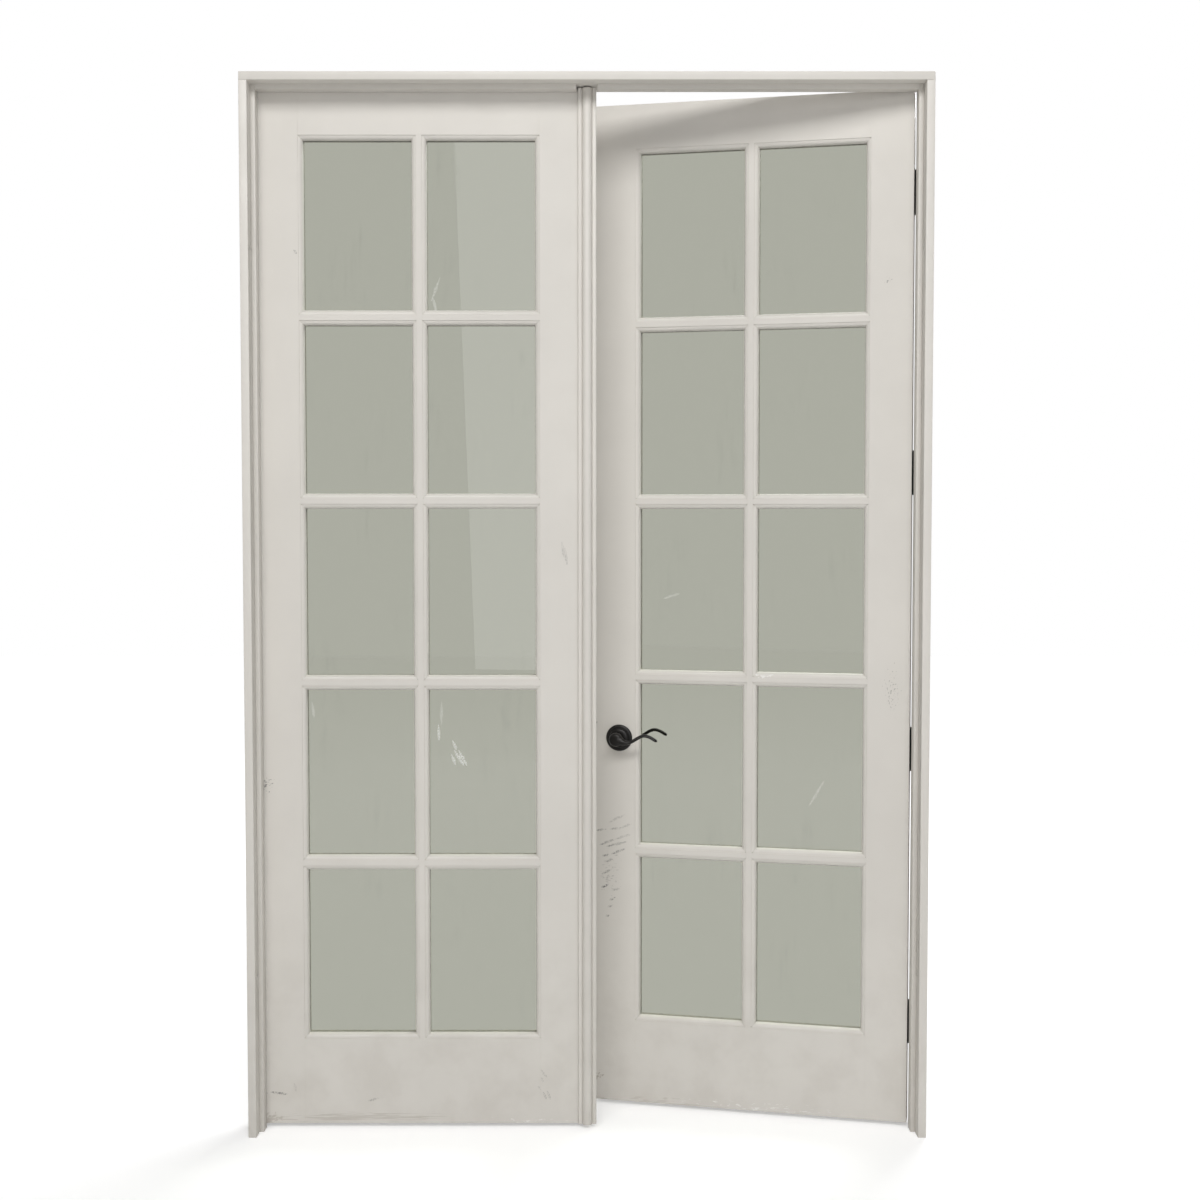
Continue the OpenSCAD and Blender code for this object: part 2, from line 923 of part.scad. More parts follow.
// Lever on the axis with +Z away from the leaf and its blade along +X
module lever() {
    difference() {
        union() {
            lever_hub();
            blade();
        }
        translate([-spindle_w / 2, -spindle_w / 2, -cut])
            cube([spindle_w, spindle_w, spindle_end + cut]);
    }
}

module outer_lever() {
    color(black_metal) lever_face("outer") lever();
}

module inner_lever() {
    color(black_metal) lever_face("inner") mirror([0, 1, 0]) lever();
}

module spindle() {
    length = leaf_t + 2 * spindle_end;
    color(steel_metal) swung_right()
        translate([lever_x - spindle_w / 2, -length / 2, lever_z - spindle_w / 2])
            cube([spindle_w, length, spindle_w]);
}

module faceplate_blank() {
    translate([half_meet, -faceplate_w / 2, lever_z - faceplate_h / 2])
        cube([faceplate_t, faceplate_w, faceplate_h]);
}

module latch_way() {
    translate([
        half_meet - cut,
        -latch_w / 2 - slide_gap,
        lever_z - latch_h / 2 - slide_gap
    ])
        cube([
            latch_tail + latch_throw + slide_gap + cut,
            latch_w + 2 * slide_gap,
            latch_h + 2 * slide_gap
        ]);
}

module latch_faceplate() {
    color(brass_metal) swung_right() difference() {
        faceplate_blank();
        latch_way();
    }
}

module latch_case() {
    color(steel_metal) swung_right() difference() {
        union() {
            translate([half_meet + faceplate_t, 0, lever_z])
                rotate([0, 90, 0])
                    cylinder(r = case_r, h = case_end - faceplate_t);
            translate([half_meet + case_end - cut, -tail_t / 2, lever_z - tail_h / 2])
                cube([tail_end - case_end + cut, tail_t, tail_h]);
        }
        latch_way();
        translate([lever_x, -tail_t / 2 - cut, lever_z])
            rotate([-90, 0, 0])
                cylinder(r = spindle_w / sqrt(2) + slide_gap, h = tail_t + 2 * cut);
    }
}

module latch_bolt() {
    tip = half_meet - latch_throw;
    color(brass_metal) swung_right()
        translate([0, 0, lever_z - latch_h / 2])
            linear_extrude(latch_h)
                polygon([
                    [tip, latch_w / 2],
                    [tip, latch_w / 2 - latch_nose],
                    [half_meet - slide_gap, -latch_w / 2],
                    [half_meet + latch_tail, -latch_w / 2],
                    [half_meet + latch_tail, latch_w / 2]
                ]);
}

jamb("left");  // left_jamb
jamb("right");  // right_jamb
head_jamb();
side_stop("left");  // left_stop
side_stop("right");  // right_stop
head_stops();
jamb_hinge_screws();
head_bolt_strike();
for (side = SIDES) {
    jamb_hinge_plates(side);
    hinge_pins(side);
    hinge_stile(side);
    meeting_stile(side);
    top_rail(side);
    bottom_rail(side);
    upright_bar(side);
    for (row = [1 : pane_rows - 1])
        cross_bar(side, row);
    panes(side);
    beads(side);
    leaf_hinge_plates(side);
    leaf_hinge_screws(side);
}
astragal();
astragal_screws();
latch_strike();
bolt_plate("top");  // top_bolt_plate
bolt_plate("bottom");  // bottom_bolt_plate
flush_bolt("top");  // top_bolt
flush_bolt("bottom");  // bottom_bolt
outer_rosette();
inner_rosette();
rosette_screws();
latch_case();
latch_faceplate();
latch_bolt();
outer_lever();
inner_lever();
spindle();
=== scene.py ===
"""Looks of a pair of painted french doors in their frame: worn white paint, clear glass,
satin black lever and hinges, brass latch. Metres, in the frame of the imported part."""

import json
import math

import bpy
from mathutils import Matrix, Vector

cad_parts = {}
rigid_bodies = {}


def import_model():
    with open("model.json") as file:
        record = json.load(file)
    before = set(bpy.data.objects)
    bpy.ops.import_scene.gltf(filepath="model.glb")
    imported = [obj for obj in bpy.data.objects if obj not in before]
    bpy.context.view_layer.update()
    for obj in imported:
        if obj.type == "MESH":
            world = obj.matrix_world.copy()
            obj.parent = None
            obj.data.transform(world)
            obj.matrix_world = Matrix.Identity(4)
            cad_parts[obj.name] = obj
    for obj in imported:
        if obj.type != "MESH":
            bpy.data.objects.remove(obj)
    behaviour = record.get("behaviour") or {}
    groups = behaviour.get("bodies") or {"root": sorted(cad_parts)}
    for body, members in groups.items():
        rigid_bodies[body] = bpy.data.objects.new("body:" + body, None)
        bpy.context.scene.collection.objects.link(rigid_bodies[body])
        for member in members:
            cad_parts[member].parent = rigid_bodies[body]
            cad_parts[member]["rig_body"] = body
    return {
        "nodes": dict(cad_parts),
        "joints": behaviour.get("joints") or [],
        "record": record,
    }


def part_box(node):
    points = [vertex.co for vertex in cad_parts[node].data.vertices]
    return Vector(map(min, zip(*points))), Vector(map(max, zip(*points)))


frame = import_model()
NODES = frame["nodes"]
SLOT_OF = {s["node"]: s["material_slot"] for s in frame["record"]["subparts"]}
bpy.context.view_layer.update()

# Camera, as the photograph was taken
CAMERA_AT = (0.03, -4.05, 1.45)
CAMERA_DOWN_DEG = 2.7
CAMERA_FOV_DEG = 38.6
CAMERA_SENSOR_MM = 36

# Corners of each leaf's face in the photograph: top left, top right, foot left, foot right
LEFT_FACE_PX = ((258, 76), (581, 76), (268, 1120), (582, 1122))
RIGHT_FACE_PX = ((607, 80), (933, 79), (620, 1117), (936, 1111))

# The shut leaves' faces, read from the frame
SWINGS = {j["child"]: j for j in frame["joints"] if j["name"].endswith("_swing")}
RIGHT_PIN = Vector(SWINGS["right_leaf"]["pos_m"])
RIGHT_AJAR = -math.radians(SWINGS["right_leaf"]["range_deg"][0])
LEFT_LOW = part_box("left_hinge_stile")[0]
LEFT_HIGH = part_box("left_meeting_stile")[1]
FACE_Y = LEFT_LOW.y
LEAF_W = LEFT_HIGH.x - LEFT_LOW.x
LEAF_H = LEFT_HIGH.z - LEFT_LOW.z
FOOT_Z = LEFT_LOW.z
PANE_DEPTH = Vector((0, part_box("left_panes")[0].y - FACE_Y, 0))

# Patterns of noise: cycles a metre, detail, roughness
PATTERNS = {
    "drift": (2.2, 4, 0.6),
    "blotch": (11, 3, 0.6),
    "brush": (420, 2, 0.5),
    "stipple": (900, 2, 0.5),
    "wobble": (90, 2, 0.55),
    "gaps": (260, 3, 0.6),
    "grains": (1, 2, 0.6),
    "rubbed patches": (38, 4, 0.65),
    "metal smear": (45, 4, 0.6),
    "metal grain": (1600, 2, 0.5),
    "glass smear": (7, 4, 0.65),
    "glass wipe": (55, 3, 0.6),
}
NOISE_MIDDLE = 0.5
FADE_OUT = (1.0, 0.0)


# Node helpers

def add(tree, kind, **values):
    """A node whose named settings or inputs are set; a socket as value is linked."""
    n = tree.nodes.new(kind)
    for name, value in values.items():
        if hasattr(n, name) and name not in n.inputs:
            setattr(n, name, value)
        else:
            put(tree, n.inputs[name], value)
    return n


def put(tree, socket, value):
    """Links an output to an input, or sets the input's own value."""
    if isinstance(value, bpy.types.NodeSocket):
        tree.links.new(value, socket)
    else:
        socket.default_value = value


def maths(tree, operation, a, b=0.0, c=0.0, clamp=False):
    n = tree.nodes.new("ShaderNodeMath")
    n.operation = operation
    n.use_clamp = clamp
    for socket, value in zip(n.inputs, (a, b, c)):
        put(tree, socket, value)
    return n.outputs[0]


def product(tree, first, *others):
    for other in others:
        first = maths(tree, "MULTIPLY", first, other)
    return first


def most(tree, first, *others):
    """The strongest of several masks."""
    for other in others:
        first = maths(tree, "MAXIMUM", first, other)
    return first


def vector_maths(tree, operation, a, b=(0, 0, 0)):
    n = tree.nodes.new("ShaderNodeVectorMath")
    n.operation = operation
    put(tree, n.inputs[0], a)
    put(tree, n.inputs[1], b)
    return n.outputs["Value" if operation in ("LENGTH", "DOT_PRODUCT") else "Vector"]


def scaled(tree, vector, factor):
    n = add(tree, "ShaderNodeVectorMath", operation="SCALE", Scale=factor)
    put(tree, n.inputs[0], vector)
    return n.outputs["Vector"]


def ramp(tree, value, span, to=(0.0, 1.0)):
    """A value taken smoothly from one span to another."""
    n = add(tree, "ShaderNodeMapRange", interpolation_type="SMOOTHSTEP")
    for socket, setting in zip(n.inputs, (value, *span, *to)):
        put(tree, socket, setting)
    return n.outputs[0]


def mixed(tree, share, a, b):
    """Colour a, turning into colour b by a share."""
    n = tree.nodes.new("ShaderNodeMix")
    n.data_type = "RGBA"
    put(tree, n.inputs["Factor"], share)
    colour_inputs = [socket for socket in n.inputs if socket.type == "RGBA"]
    for socket, value in zip(colour_inputs, (a, b)):
        put(tree, socket, (*value, 1) if isinstance(value, tuple) else value)
    return next(socket for socket in n.outputs if socket.type == "RGBA")


def noise(tree, pattern, place):
    scale, detail, roughness = PATTERNS[pattern]
    n = add(tree, "ShaderNodeTexNoise", Vector=place, Scale=scale, Detail=detail, Roughness=roughness)
    return n.outputs["Fac"]


def new_group(name, inputs, outputs):
    """A shader node group with named sockets. Returns the tree, its inputs and its outputs."""
    tree = bpy.data.node_groups.new(name, "ShaderNodeTree")
    for way, sockets in (("INPUT", inputs), ("OUTPUT", outputs)):
        for label, kind in sockets.items():
            tree.interface.new_socket(label, in_out=way, socket_type="NodeSocket" + kind)
    given = tree.nodes.new("NodeGroupInput").outputs
    result = tree.nodes.new("NodeGroupOutput").inputs
    return tree, given, result


def placed(tree, group, **values):
    """The outputs of a group that is placed in a material, with its inputs set."""
    n = tree.nodes.new("ShaderNodeGroup")
    n.node_tree = group
    for name, value in values.items():
        put(tree, n.inputs[name.replace("_", " ")], value)
    return n.outputs


# Effect: rolled and brushed paint

GRAIN_DRAWN_OUT = 0.08
GRAIN_ALONG = {"upright": (1, 1, GRAIN_DRAWN_OUT), "level": (GRAIN_DRAWN_OUT, 1, 1)}
GRIME_HEIGHT = (0.0, 0.7)
GRIME_BY_HEIGHT = (1.0, 0.15)
GRIME_BLOTCHES = (0.35, 0.75)
GRIME_DULLS = 0.3
TONE_DRIFT = (0.3, 0.7)
TONES = (0.965, 1.02)
SHEEN_BLOTCHES = (0.3, 0.75)
SHEEN_ROUGH = (0.36, 0.5)
BRUSH_SHARE = 0.7
STIPPLE_SHARE = 0.3


def make_paint_coat():
    """Rolled and brushed paint: colour drift, stipple and grime that gathers towards the floor."""
    tree, given, result = new_group(
        "paint coat",
        {"Place": "Vector", "Paint": "Color", "Grime": "Color", "Grime Share": "Float",
         "Grain Along": "Vector"},
        {"Color": "Color", "Roughness": "Float", "Height": "Float"},
    )
    place = given["Place"]
    blotch = noise(tree, "blotch", place)
    height = add(tree, "ShaderNodeSeparateXYZ", Vector=place).outputs["Z"]
    low = ramp(tree, height, GRIME_HEIGHT, GRIME_BY_HEIGHT)
    dirt = product(tree, low, ramp(tree, blotch, GRIME_BLOTCHES), given["Grime Share"])
    tone = ramp(tree, noise(tree, "drift", place), TONE_DRIFT, TONES)
    put(tree, result["Color"], mixed(tree, dirt, scaled(tree, given["Paint"], tone), given["Grime"]))
    sheen = ramp(tree, blotch, SHEEN_BLOTCHES, SHEEN_ROUGH)
    put(tree, result["Roughness"], maths(tree, "MULTIPLY_ADD", dirt, GRIME_DULLS, sheen))
    brush = noise(tree, "brush", vector_maths(tree, "MULTIPLY", place, given["Grain Along"]))
    stipple = product(tree, noise(tree, "stipple", place), STIPPLE_SHARE)
    put(tree, result["Height"], maths(tree, "MULTIPLY_ADD", brush, BRUSH_SHARE, stipple))
    return tree


# Effect: one rubbed mark

STROKE_BELLY = 0.35
STROKE_ENDS = 0.2
STROKE_EDGE = (0.4, 1.3)
GAPS_FROM = 0.8
GAPS_TO = 0.62


def make_stroke():
    """One rubbed mark from a point to a point: thin at its ends, broken along its length."""
    tree, given, result = new_group(
        "stroke",
        {"Place": "Vector", "From": "Vector", "To": "Vector", "Width": "Float",
         "Strength": "Float", "Broken": "Float"},
        {"Mask": "Float"},
    )
    off = vector_maths(tree, "SUBTRACT", given["Place"], given["From"])
    run = vector_maths(tree, "SUBTRACT", given["To"], given["From"])
    along = maths(tree, "DIVIDE", vector_maths(tree, "DOT_PRODUCT", off, run),
                  vector_maths(tree, "DOT_PRODUCT", run, run), clamp=True)
    sway = maths(tree, "SUBTRACT", noise(tree, "wobble", off), NOISE_MIDDLE)
    aside = vector_maths(tree, "SUBTRACT", off, scaled(tree, run, along))
    away = maths(tree, "MULTIPLY_ADD", sway, given["Width"], vector_maths(tree, "LENGTH", aside))
    belly = maths(tree, "SINE", product(tree, along, math.pi))
    half = product(tree, given["Width"], maths(tree, "MULTIPLY_ADD", belly, STROKE_BELLY, STROKE_ENDS))
    body = ramp(tree, maths(tree, "DIVIDE", away, half), STROKE_EDGE, FADE_OUT)
    gaps = ramp(tree, noise(tree, "gaps", off), (product(tree, given["Broken"], GAPS_FROM), GAPS_TO))
    put(tree, result["Mask"], product(tree, body, gaps, given["Strength"]))
    return tree


# Effect: scattered small marks

SPECKLE_THINS = (0.05, -0.12)
SPECKLE_SPOT_EDGE = 0.07
SPECKLE_PATCH_EDGE = (0.6, 1.0)


def make_speckle():
    """Small marks scattered inside an egg-shaped patch."""
    tree, given, result = new_group(
        "speckle",
        {"Place": "Vector", "Middle": "Vector", "Reach": "Vector", "Size": "Vector",
         "Bare": "Float", "Strength": "Float"},
        {"Mask": "Float"},
    )
    off = vector_maths(tree, "SUBTRACT", given["Place"], given["Middle"])
    far = vector_maths(tree, "LENGTH", vector_maths(tree, "DIVIDE", off, given["Reach"]))
    grains = noise(tree, "grains", vector_maths(tree, "DIVIDE", off, given["Size"]))
    thinned = maths(tree, "ADD", grains, ramp(tree, far, (0.0, 1.0), SPECKLE_THINS))
    full = maths(tree, "ADD", given["Bare"], SPECKLE_SPOT_EDGE)
    spots = ramp(tree, thinned, (given["Bare"], full))
    inside = ramp(tree, far, SPECKLE_PATCH_EDGE, FADE_OUT)
    put(tree, result["Mask"], product(tree, inside, spots, given["Strength"]))
    return tree


# Effect: rubbed edges

ARRIS_WIDTH = 0.0008
ARRIS_SAMPLES = 6
ARRIS_TURN = (0.97, 0.86)
ARRIS_PATCHES = (0.5, 0.66)


def make_arris_wear():
    """Where an edge is rubbed: outside corners found by a rounded normal, broken up by noise."""
    tree, given, result = new_group(
        "arris wear",
        {"Place": "Vector", "Width": "Float", "Share": "Float"},
        {"Mask": "Float", "Normal": "Vector"},
    )
    rounded = add(tree, "ShaderNodeBevel", samples=ARRIS_SAMPLES, Radius=given["Width"]).outputs["Normal"]
    flat = tree.nodes.new("ShaderNodeNewGeometry").outputs["Normal"]
    edge = ramp(tree, vector_maths(tree, "DOT_PRODUCT", rounded, flat), ARRIS_TURN)
    patchy = ramp(tree, noise(tree, "rubbed patches", given["Place"]), ARRIS_PATCHES)
    put(tree, result["Mask"], product(tree, edge, patchy, given["Share"]))
    put(tree, result["Normal"], rounded)
    return tree


# Effect: skin of a metal finish

METAL_SMEARS = (0.45, 0.8)
METAL_SMEAR_SHARE = (0.0, 0.6)


def make_metal_skin():
    """Fine unevenness of a metal finish: colour drift, smears and a light grain."""
    tree, given, result = new_group(
        "metal skin",
        {"Place": "Vector", "Metal": "Color", "Rubbed": "Color", "Dull": "Float", "Spread": "Float"},
        {"Color": "Color", "Roughness": "Float", "Height": "Float"},
    )
    smear = noise(tree, "metal smear", given["Place"])
    share = ramp(tree, smear, METAL_SMEARS, METAL_SMEAR_SHARE)
    put(tree, result["Color"], mixed(tree, share, given["Metal"], given["Rubbed"]))
    uneven = maths(tree, "SUBTRACT", smear, NOISE_MIDDLE)
    put(tree, result["Roughness"], maths(tree, "MULTIPLY_ADD", uneven, given["Spread"], given["Dull"]))
    put(tree, result["Height"], noise(tree, "metal grain", given["Place"]))
    return tree


PAINT_COAT = make_paint_coat()
STROKE = make_stroke()
SPECKLE = make_speckle()
ARRIS_WEAR = make_arris_wear()
METAL_SKIN = make_metal_skin()


# Places of marks, as pixels of the photograph

def on_face(corners, px, py):
    """Where a pixel of the photograph lies on a leaf's face, as shares of its width and height."""
    (x0, y0), (x1, y1), (x2, y2), (x3, y3) = corners
    top = (y0 + y1) / 2
    foot = (y2 + y3) / 2
    down = (py - top) / (foot - top)
    left = x0 + (x2 - x0) * down
    right = x1 + (x3 - x1) * down
    return (px - left) / (right - left), 1 - down


def face_point(side, px, py):
    """The point on a shut leaf's face that a pixel of the photograph shows."""
    across, up = on_face(LEFT_FACE_PX if side == "left" else RIGHT_FACE_PX, px, py)
    edge_x = LEFT_LOW.x if side == "left" else -LEFT_HIGH.x
    return Vector((edge_x + LEAF_W * across, FACE_Y, FOOT_Z + LEAF_H * up))


# Strokes on the paint: from, to, strength
RUBBER_STROKES = {
    "left": [
        ((266, 1090), (272, 1090), 0.35), ((275, 1089), (291, 1091), 0.75),
        ((371, 1098), (382, 1095), 0.45), ((298, 1080), (300, 1088), 0.3),
        ((541, 1066), (546, 1073), 0.35), ((541, 1074), (543, 1078), 0.3),
        ((543, 1089), (546, 1096), 0.5), ((547, 1088), (550, 1096), 0.45),
        ((538, 1083), (540, 1086), 0.3), ((561, 527), (563, 541), 0.4),
        ((564, 533), (566, 549), 0.4), ((297, 235), (300, 239), 0.6),
        ((264, 768), (271, 770), 0.8), ((265, 776), (269, 778), 0.6),
    ],
    "right": [
        ((630.6, 819.6), (646.9, 810.9), 0.35), ((616.8, 828.8), (627.6, 826.9), 0.6),
        ((632.1, 826.7), (645.9, 824.7), 0.5), ((644.9, 823.7), (654.1, 820.6), 0.35),
        ((621.4, 843.6), (637.2, 837.4), 0.7), ((637.8, 836.9), (654.1, 831.3), 0.4),
        ((628.6, 845.1), (649, 839.5), 0.7), ((624, 855.3), (631.1, 853.5), 0.7),
        ((633.7, 852.8), (647.4, 847.3), 0.75), ((627, 861.4), (635.2, 858.2), 0.55),
        ((624.5, 873.7), (633.7, 869.6), 0.6), ((628.6, 879.8), (630.6, 875.7), 0.45),
        ((623.5, 888.5), (630.6, 885.7), 1.0), ((634.7, 891), (643.9, 889), 0.4),
        ((632.4, 901.7), (637.8, 898.7), 0.65), ((630.6, 908.9), (635.7, 906.8), 0.5),
        ((628.6, 918.8), (631.8, 918), 0.6), ((615, 714), (616.5, 716), 0.7),
    ],
}
# Patches of small marks: left, top, right, foot; width and height of a mark; how bare; strength
RUBBER_SPECKS = {
    "left": [((258, 756, 284, 788), (0.008, 0.004), 0.58, 0.7)],
    "right": [
        ((902, 632, 932, 716), (0.004, 0.005), 0.60, 0.5),
        ((902, 258, 916, 273), (0.005, 0.004), 0.58, 0.55),
        ((612, 815, 652, 925), (0.012, 0.003), 0.60, 0.35),
    ],
}
GRIME_SPECKS = {
    "left": [
        ((240, 1108, 480, 1122), (0.090, 0.0035), 0.46, 0.34),
        ((260, 1108, 292, 1124), (0.014, 0.006), 0.46, 0.45),
    ],
    "right": [
        ((612, 1080, 632, 1098), (0.008, 0.006), 0.52, 0.7),
        ((600, 1104, 760, 1124), (0.050, 0.006), 0.50, 0.3),
    ],
}
PRIMER_SPECKS = {
    "left": [((470, 1110, 590, 1126), (0.016, 0.004), 0.60, 0.6)],
    "right": [
        ((640, 1098, 940, 1122), (0.020, 0.004), 0.60, 0.7),
        ((678, 490, 698, 500), (0.006, 0.003), 0.5, 0.9),
        ((776, 657, 804, 668), (0.008, 0.003), 0.52, 0.9),
    ],
}
# Streaks on the glass: from, to, strength
GLASS_STREAKS = {
    "left": [
        ((439, 713), (439.5, 728), 0.9), ((453, 729), (457, 738), 0.9), ((455, 739), (464, 754), 1.0),
        ((459, 739), (467, 754), 1.0), ((452, 743), (456, 753), 0.9), ((442, 690), (442, 712), 0.35),
        ((433, 281), (437, 296), 0.5), ((440, 262), (432, 284), 0.4), ((314, 690), (316, 704), 0.4),
    ],
    "right": [((684, 585), (700, 580), 0.35), ((836, 795), (850, 770), 0.35)],
}
STROKE_WIDTH = 0.0062
STROKE_BROKEN = 0.5
STREAK_WIDTH = 0.007
STREAK_BROKEN = 0.3
SPECK_DEPTH = 0.012


def strokes_on(tree, place, side, strokes, depth, **look):
    """The masks of a side's strokes, at a depth behind the leaf's face."""
    return [
        placed(tree, STROKE, Place=place, From=face_point(side, *start) + depth,
               To=face_point(side, *end) + depth, Strength=strength, **look)["Mask"]
        for start, end, strength in strokes[side]
    ]


def specks_on(tree, place, side, patches):
    """The masks of a side's patches of small marks."""
    masks = []
    for (x0, y0, x1, y1), (wide, high), bare, strength in patches[side]:
        low, far = face_point(side, x0, y1), face_point(side, x1, y0)
        reach = (far - low) / 2
        masks.append(placed(
            tree, SPECKLE, Place=place, Middle=(low + far) / 2, Reach=(reach.x, SPECK_DEPTH, reach.z),
            Size=(wide, SPECK_DEPTH, high), Bare=bare, Strength=strength,
        )["Mask"])
    return masks


# Materials

def new_material(name):
    """A material with one principled shader. Returns the material, its tree, the shader and the end."""
    mat = bpy.data.materials.new(name)
    mat.use_nodes = True
    tree = mat.node_tree
    tree.nodes.clear()
    surface = tree.nodes.new("ShaderNodeBsdfPrincipled")
    end = tree.nodes.new("ShaderNodeOutputMaterial").inputs["Surface"]
    tree.links.new(surface.outputs[0], end)
    return mat, tree, surface, end


def mixed_shader(tree, share, a, b):
    n = tree.nodes.new("ShaderNodeMixShader")
    for socket, output in zip(n.inputs, (share, a, b)):
        tree.links.new(output, socket)
    return n.outputs[0]


def shut_place(tree, side):
    """Object coordinates, turned back to where the right leaf is when shut."""
    place = tree.nodes.new("ShaderNodeTexCoord").outputs["Object"]
    if side != "right":
        return place
    turn = add(tree, "ShaderNodeVectorRotate", rotation_type="Z_AXIS", Vector=place,
               Center=RIGHT_PIN, Angle=RIGHT_AJAR)
    return turn.outputs[0]


PAINT = (0.672, 0.645, 0.602)
GRIME = (0.36, 0.32, 0.27)
BARE_WOOD = (0.46, 0.36, 0.26)
RUBBER = (0.085, 0.083, 0.080)
PRIMER = (0.86, 0.85, 0.82)
LEAF_GRIME_SHARE = 0.16
LEAF_WEAR_SHARE = 0.4
FRAME_GRIME_SHARE = 0.1
FRAME_WEAR_SHARE = 0.2
MARK_DULLS = 0.2
PAINT_BUMP = {"Strength": 0.12, "Distance": 0.0006}


def painted_wood(side, grain):
    """White paint of one leaf or of the frame, its grain upright or level."""
    mat, tree, surface, _ = new_material(f"white_paint_{side}_{grain}")
    place = shut_place(tree, side)
    on_a_leaf = side in RUBBER_STROKES
    coat = placed(tree, PAINT_COAT, Place=place, Paint=(*PAINT, 1), Grime=(*GRIME, 1),
                  Grime_Share=LEAF_GRIME_SHARE if on_a_leaf else FRAME_GRIME_SHARE,
                  Grain_Along=GRAIN_ALONG[grain])
    wear = placed(tree, ARRIS_WEAR, Place=place, Width=ARRIS_WIDTH,
                  Share=LEAF_WEAR_SHARE if on_a_leaf else FRAME_WEAR_SHARE)
    colour = mixed(tree, wear["Mask"], coat["Color"], BARE_WOOD)
    rough = coat["Roughness"]
    if on_a_leaf:
        scuffs = strokes_on(tree, place, side, RUBBER_STROKES, Vector(),
                            Width=STROKE_WIDTH, Broken=STROKE_BROKEN)
        marks = (
            (specks_on(tree, place, side, GRIME_SPECKS), GRIME),
            (scuffs + specks_on(tree, place, side, RUBBER_SPECKS), RUBBER),
            (specks_on(tree, place, side, PRIMER_SPECKS), PRIMER),
        )
        for masks, tint in marks:
            mask = most(tree, *masks)
            colour = mixed(tree, mask, colour, tint)
            rough = maths(tree, "MULTIPLY_ADD", mask, MARK_DULLS, rough)
    bump = add(tree, "ShaderNodeBump", **PAINT_BUMP, Height=coat["Height"], Normal=wear["Normal"])
    put(tree, surface.inputs["Base Color"], colour)
    put(tree, surface.inputs["Roughness"], rough)
    put(tree, surface.inputs["Normal"], bump.outputs[0])
    return mat


# Glass colours: a faint green tint, darkened far below clear glass as painted shade for the dim, shaded
# things seen through the panes; the haze colour carries the same painted shade
GLASS_TINT_AND_SHADE = (0.405, 0.412, 0.352)
GLASS_HAZE_AND_SHADE = (0.330, 0.336, 0.288)
GLASS_STREAK = (0.95, 0.95, 0.93)
GLASS_SHADOW = (0.80, 0.825, 0.795)
GLASS_IOR = 1.5
GLASS_ROUGH = 0.006
HAZE_ROUGH = 0.14
STREAK_ROUGH = 0.5
HAZE_SHARE = 0.8
SMEAR_DRAWN_OUT = (1, 1, 0.6)
SMEAR_SHOWS = (0.48, 0.78)
WIPE_DRAWN_OUT = (1, 1, 0.14)
WIPE_SHOWS = (0.45, 0.8)


def clear_glass(side):
    """Old clear float glass: faint green, smeared and streaked, and letting the lamps through. Its colour
    is darkened as painted shade, standing in for the dim, shaded things seen through the panes.
    """
    mat, tree, surface, end = new_material(f"clear_glass_{side}")
    place = shut_place(tree, side)
    smear = noise(tree, "glass smear", vector_maths(tree, "MULTIPLY", place, SMEAR_DRAWN_OUT))
    wipe = noise(tree, "glass wipe", vector_maths(tree, "MULTIPLY", place, WIPE_DRAWN_OUT))
    haze = product(tree, ramp(tree, smear, SMEAR_SHOWS), ramp(tree, wipe, WIPE_SHOWS))
    streak = most(tree, *strokes_on(tree, place, side, GLASS_STREAKS, PANE_DEPTH,
                                    Width=STREAK_WIDTH, Broken=STREAK_BROKEN))
    # The pane's colour: the faint green tint darkened by painted shade, turning in hazy patches into the
    # haze colour, which is painted shade too
    tint = mixed(tree, product(tree, haze, HAZE_SHARE), GLASS_TINT_AND_SHADE, GLASS_HAZE_AND_SHADE)
    put(tree, surface.inputs["Base Color"], mixed(tree, streak, tint, GLASS_STREAK))
    rough = maths(tree, "MULTIPLY_ADD", haze, HAZE_ROUGH, GLASS_ROUGH)
    put(tree, surface.inputs["Roughness"], maths(tree, "MULTIPLY_ADD", streak, STREAK_ROUGH, rough))
    surface.inputs["Transmission Weight"].default_value = 1
    surface.inputs["IOR"].default_value = GLASS_IOR
    clear = add(tree, "ShaderNodeBsdfTransparent", Color=(*GLASS_SHADOW, 1))
    shadow_ray = tree.nodes.new("ShaderNodeLightPath").outputs["Is Shadow Ray"]
    tree.links.new(mixed_shader(tree, shadow_ray, surface.outputs[0], clear.outputs[0]), end)
    return mat


METAL_FINISHES = {
    "black_metal": {
        "colour": (0.016, 0.015, 0.0145), "rubbed": (0.032, 0.030, 0.028), "bare_edge": (0.11, 0.09, 0.075),
        "metallic": 0.55, "dull": 0.36, "spread": 0.2, "edge_share": 0.5,
    },
    "brass": {
        "colour": (0.58, 0.41, 0.16), "rubbed": (0.40, 0.27, 0.10), "bare_edge": (0.72, 0.55, 0.27),
        "metallic": 1.0, "dull": 0.30, "spread": 0.25, "edge_share": 0.5,
    },
    "steel": {
        "colour": (0.46, 0.46, 0.47), "rubbed": (0.34, 0.34, 0.35), "bare_edge": (0.6, 0.6, 0.61),
        "metallic": 1.0, "dull": 0.36, "spread": 0.2, "edge_share": 0.3,
    },
}
METAL_BUMP = {"Strength": 0.06, "Distance": 0.0003}


